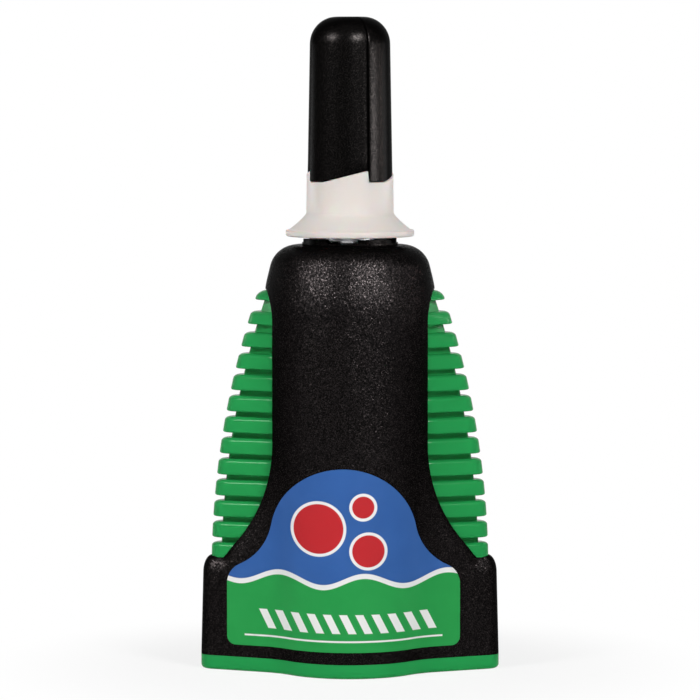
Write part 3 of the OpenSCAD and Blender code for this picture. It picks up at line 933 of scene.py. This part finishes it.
def grained_black(name, scale, rarity, glint, lean, rough, peel):
    """Black plastic of a spark-eroded mould: tiny facets that lean and glint their own way."""
    made, tree, shader, place = blank(name)
    cells = node(tree, "TexVoronoi", {"Vector": place, "Scale": scale}).outputs["Color"]
    # Shuffled, so that how brightly a facet glints has nothing to do with where it leans
    shuffle = 37.0
    red = node(tree, "SeparateColor", {"Color": cells}).outputs["Red"]
    draw = calc(tree, "FRACT", calc(tree, "MULTIPLY", red, shuffle))
    facet = calc(tree, "POWER", draw, rarity)
    broad = noise(tree, place, 140.0, 3.0)
    fine = noise(tree, place, 1.4 * scale, 2.0, 0.6)
    ground = tint(tree, broad, (0.0017, 0.0016, 0.0016), (0.0026, 0.0024, 0.0024))
    middle = {0: cells, 1: (0.5, 0.5, 0.5)}
    centred = node(tree, "VectorMath", middle, operation="SUBTRACT").outputs[0]
    tilt = node(tree, "VectorMath", {0: centred, "Scale": lean}, operation="SCALE").outputs[0]
    soft = bump(tree, noise(tree, place, 700.0, 2.0), 1.0, peel)
    facing = node(tree, "VectorMath", {0: soft, 1: tilt}, operation="ADD").outputs[0]
    feed(
        tree, shader,
        Base_Color=tint(tree, facet, ground, glint),
        Metallic=spread(tree, facet, 0.6, 1.0),
        Roughness=spread(tree, fine, *rough),
        Specular_IOR_Level=0.01,
        Specular_Tint=(0.04, 0.04, 0.04, 1),
        Normal=node(tree, "VectorMath", {0: facing}, operation="NORMALIZE").outputs[0],
    )
    return made


def gloss_green():
    """Green grip and base plastic: glossy, with slight clouding and a soft moulded ripple."""
    made, tree, shader, place = blank("gloss_green")
    cloud = noise(tree, place, 90.0, 4.0)
    ripple = noise(tree, place, 650.0, 2.0)
    fine = noise(tree, place, 4200.0, 2.0)
    feed(
        tree, shader,
        Base_Color=tint(tree, cloud, (0.0155, 0.285, 0.070), (0.0205, 0.330, 0.082)),
        Roughness=spread(tree, cloud, 0.16, 0.26),
        Specular_IOR_Level=0.05,
        Normal=bump(tree, fine, 0.12, 0.000004, bump(tree, ripple, 0.2, 0.00001)),
    )
    return made


def milky_white():
    """Soft translucent nozzle plastic."""
    made, tree, shader, place = blank("milky_white")
    cloud = noise(tree, place, 160.0, 4.0)
    fine = noise(tree, place, 2600.0, 2.0)
    feed(
        tree, shader,
        Base_Color=tint(tree, cloud, (0.655, 0.605, 0.572), (0.715, 0.663, 0.628)),
        Roughness=spread(tree, fine, 0.42, 0.52),
        Specular_IOR_Level=0.1,
        Subsurface_Weight=0.35,
        Subsurface_Scale=0.0012,
        Normal=bump(tree, fine, 0.15, 0.00001),
    )
    return made


def tube_metal():
    """Bare collapsible-tube aluminium with turned lines."""
    made, tree, shader, place = blank("tube_metal")
    lines = node(tree, "Mapping", {"Vector": place, "Scale": (200.0, 200.0, 9000.0)}).outputs[0]
    turned_lines = noise(tree, lines, 1.0, 3.0)
    cloud = noise(tree, place, 300.0, 3.0)
    feed(
        tree, shader,
        Base_Color=tint(tree, cloud, (0.70, 0.70, 0.71), (0.86, 0.86, 0.87)),
        Metallic=1.0,
        Roughness=spread(tree, turned_lines, 0.18, 0.36),
        Normal=bump(tree, turned_lines, 0.3, 0.00002),
    )
    return made


def pin_steel():
    """Drawn steel of the sealing pin."""
    made, tree, shader, place = blank("pin_steel")
    lines = node(tree, "Mapping", {"Vector": place, "Scale": (9000.0, 9000.0, 150.0)}).outputs[0]
    drawn = noise(tree, lines, 1.0, 3.0)
    feed(
        tree, shader,
        Base_Color=tint(tree, drawn, (0.48, 0.48, 0.49), (0.62, 0.62, 0.63)),
        Metallic=1.0,
        Roughness=spread(tree, drawn, 0.22, 0.38),
        Normal=bump(tree, drawn, 0.2, 0.00001),
    )
    return made


def inside(tree, distance):
    """1 where a distance in millimetres is above zero, with a clean narrow edge."""
    return calc(tree, "MULTIPLY_ADD", distance, PRINT_SHARP, 0.5, clamp=True)


def band(tree, value, middle, half):
    """Distance inside a band round a middle value."""
    off = calc(tree, "ABSOLUTE", calc(tree, "SUBTRACT", value, middle))
    return calc(tree, "SUBTRACT", half, off)


def disc(tree, across, up, middle, radius):
    """Distance inside a round spot."""
    dx = calc(tree, "SUBTRACT", across, middle[0])
    dz = calc(tree, "SUBTRACT", up, middle[1])
    reach = calc(tree, "SQRT", calc(tree, "MULTIPLY_ADD", dx, dx, calc(tree, "MULTIPLY", dz, dz)))
    return calc(tree, "SUBTRACT", radius, reach)


def printed_film(name, facing):
    """Plain printed sticker: red spots on blue, over a green foot with slanted white strokes."""
    made, tree, shader, place = blank(name)
    split = node(tree, "SeparateXYZ", {"Vector": place})
    across = calc(tree, "MULTIPLY_ADD", split.outputs["X"], facing / MM, LABEL_SHIFT)
    up = calc(tree, "MULTIPLY", split.outputs["Z"], 1 / MM)
    white = (0.83, 0.83, 0.82)
    red = (0.52, 0.024, 0.030)
    blues = (0.030, 0.105, 0.33), (0.042, 0.130, 0.40)
    greens = (0.018, 0.29, 0.062), (0.026, 0.34, 0.078)
    blue = tint(tree, noise(tree, place, 220.0, 3.0), *blues)
    green = tint(tree, noise(tree, place, 200.0, 3.0), *greens)
    swing = calc(tree, "SINE", calc(tree, "MULTIPLY", across, WAVE_TURN))
    above = calc(tree, "SUBTRACT", up, calc(tree, "MULTIPLY_ADD", swing, WAVE_RISE, WAVE_Z))
    paint = tint(tree, inside(tree, above), green, blue)
    paint = tint(tree, inside(tree, band(tree, above, 0, WAVE_LINE)), paint, white)
    for middle, radius in SPOTS:
        spot = disc(tree, across, up, middle, radius)
        paint = tint(tree, inside(tree, calc(tree, "ADD", spot, SPOT_RING)), paint, white)
        paint = tint(tree, inside(tree, spot), paint, red)
    lean = calc(tree, "MULTIPLY_ADD", up, STROKE_LEAN, across)
    stroke = calc(tree, "SUBTRACT", STROKE_HALF, calc(tree, "PINGPONG", lean, STROKE_PITCH))
    row = calc(tree, "MINIMUM", stroke, band(tree, up, *STROKE_ROW))
    strokes = calc(tree, "MINIMUM", row, band(tree, lean, *STROKE_ENDS))
    paint = tint(tree, inside(tree, strokes), paint, white)
    rule = calc(tree, "MINIMUM", band(tree, up, *RULE_ROW), band(tree, across, *RULE_ENDS))
    paint = tint(tree, inside(tree, rule), paint, white)
    fine = noise(tree, place, 1800.0, 2.0)
    feed(
        tree, shader,
        Base_Color=paint,
        Roughness=spread(tree, fine, 0.3, 0.42),
        Specular_IOR_Level=0.06,
        Normal=bump(tree, fine, 0.1, 0.000006),
    )
    return made


# Stage


def seen_directly(tree):
    """1 for rays that show the background: seen straight, mirrored or through something."""
    path = node(tree, "LightPath").outputs
    seen = calc(tree, "MAXIMUM", path["Is Camera Ray"], path["Is Glossy Ray"])
    return calc(tree, "MAXIMUM", seen, path["Is Transmission Ray"])


def pale_floor():
    """White floor: it takes the object's shadow close by and is plain white farther out."""
    bpy.ops.object.select_all(action="DESELECT")
    bpy.ops.mesh.primitive_plane_add(size=FLOOR_SIZE)
    floor = bpy.context.object
    floor.name = "pale_floor"
    made = bpy.data.materials.new("pale_floor")
    tree = bare_tree(made)
    place = node(tree, "TexCoord").outputs["Object"]
    reach = node(tree, "VectorMath", {0: place}, operation="LENGTH").outputs["Value"]
    fade = {"Value": reach, "From Min": FLOOR_FADE[0], "From Max": FLOOR_FADE[1]}
    far = node(tree, "MapRange", fade, interpolation_type="SMOOTHSTEP").outputs[0]
    paper = tint(tree, noise(tree, place, 60.0, 3.0), (0.92, 0.92, 0.92), (0.94, 0.94, 0.94))
    matt = node(tree, "BsdfDiffuse", {"Color": paper}).outputs[0]
    plain = node(tree, "Emission", {"Color": (1, 1, 1, 1), "Strength": 1.0}).outputs[0]
    white = spread(tree, far, FLOOR_NEAR_WHITE, 1.0)
    share = calc(tree, "MULTIPLY", white, seen_directly(tree))
    surface = node(tree, "MixShader", {0: share, 1: matt, 2: plain})
    node(tree, "OutputMaterial", {"Surface": surface.outputs[0]})
    floor.data.materials.append(made)


def studio_world():
    """Plain white background with a dimmer, even fill."""
    world = bpy.data.worlds.new("studio")
    bpy.context.scene.world = world
    tree = bare_tree(world)
    strength = spread(tree, seen_directly(tree), AMBIENT, 1.0)
    back = node(tree, "Background", {"Color": (1, 1, 1, 1), "Strength": strength})
    node(tree, "OutputWorld", {"Surface": back.outputs[0]})


def look(holder, place, aim):
    """Puts a lamp or camera at a place, turned to the aim point."""
    holder.location = place
    holder.rotation_euler = (aim - holder.location).to_track_quat("-Z", "Y").to_euler()


def soft_box(name, azimuth, watts, elevation, distance, size, aim, sheen=False, beam=180):
    """A soft light round the object, turned to the aim; a sheen light only shows in gloss."""
    lamp = bpy.data.lights.new(name, "AREA")
    lamp.shape = "RECTANGLE"
    lamp.size, lamp.size_y = size
    lamp.energy = watts
    lamp.spread = math.radians(beam)
    holder = added(name, lamp)
    a, e = math.radians(azimuth), math.radians(elevation)
    way = Vector((math.sin(a) * math.cos(e), -math.cos(a) * math.cos(e), math.sin(e)))
    look(holder, Vector(aim) + distance * way, Vector(aim))
    holder.visible_camera = False
    holder.visible_diffuse = not sheen


def photo_camera():
    """Camera at the photograph's place and angle."""
    data = bpy.data.cameras.new("photo_camera")
    data.angle = math.radians(CAMERA_ANGLE)
    data.clip_start = CAMERA_NEAR
    camera = added("photo_camera", data)
    look(camera, CAMERA_PLACE, Vector(CAMERA_AIM))
    bpy.context.scene.camera = camera


# Assembly

shell_black = grained_black(
    "spark_grain_black", scale=14000.0, rarity=4.6, glint=(0.027, 0.0230, 0.0228), lean=0.44,
    rough=(0.24, 0.34), peel=0.000002,
)
cap_black = grained_black(
    "satin_black", scale=14000.0, rarity=5.0, glint=(0.012, 0.0107, 0.0102), lean=0.06,
    rough=(0.24, 0.3), peel=0.000002,
)
green = gloss_green()
milky = milky_white()
metal = tube_metal()
steel = pin_steel()
front_film = printed_film("front_film", 1)
back_film = printed_film("back_film", -1)


def fit(piece, body, node_name, material):
    """Paints a piece and puts it on its body in place of a solid."""
    piece.data.materials.clear()
    piece.data.materials.append(material)
    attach(piece, body)
    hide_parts(node_name)


fit(moulded_shell(), "body", "body_shell", shell_black)
fit(
    ribbed_grip("left_ribbed_grip", "left_grip", True),
    "left_grip", "left_grip", green,
)
fit(
    ribbed_grip("right_ribbed_grip", "right_grip", False),
    "right_grip", "right_grip", green,
)
fit(
    dressed_copy("base_plate", "foot_plate", BASE_EDGE, FOOT_R),
    "body", "base_plate", green,
)
fit(
    dressed_copy("neck_ring", "toothed_ring", RING_EDGE),
    "body", "neck_ring", cap_black,
)
fit(flanged_collar(), "collar", "nozzle_collar", milky)
fit(finned_cap(), "cap", "cap", cap_black)
fit(sticker("front_sticker", False), "body", "front_label", front_film)
fit(sticker("back_sticker", True), "body", "back_label", back_film)

for name, material in (
    ("glue_tube", metal),
    ("neck_membrane", metal),
    ("nozzle_spout", milky),
    ("cap_plug", milky),
    ("sealing_pin", steel),
):
    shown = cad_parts[name]
    shown.data.materials.clear()
    shown.data.materials.append(material)

pale_floor()
studio_world()
soft_box("right_box", azimuth=36, watts=1.1, **BOX)
soft_box("left_box", azimuth=-50, watts=0.92, **BOX)
soft_box("right_sheen", azimuth=27, watts=5.6, **SHEEN)
soft_box("left_sheen", azimuth=-48, watts=3.9, **SHEEN)
soft_box("cap_front_sheen", azimuth=68, watts=0.012, **CAP_SHEEN)
soft_box("cap_side_sheen", azimuth=104, watts=0.012, **CAP_SHEEN)
soft_box("cap_left_sheen", azimuth=-118, watts=0.006, **CAP_SHEEN)
photo_camera()
bpy.context.scene.view_settings.view_transform = "Standard"
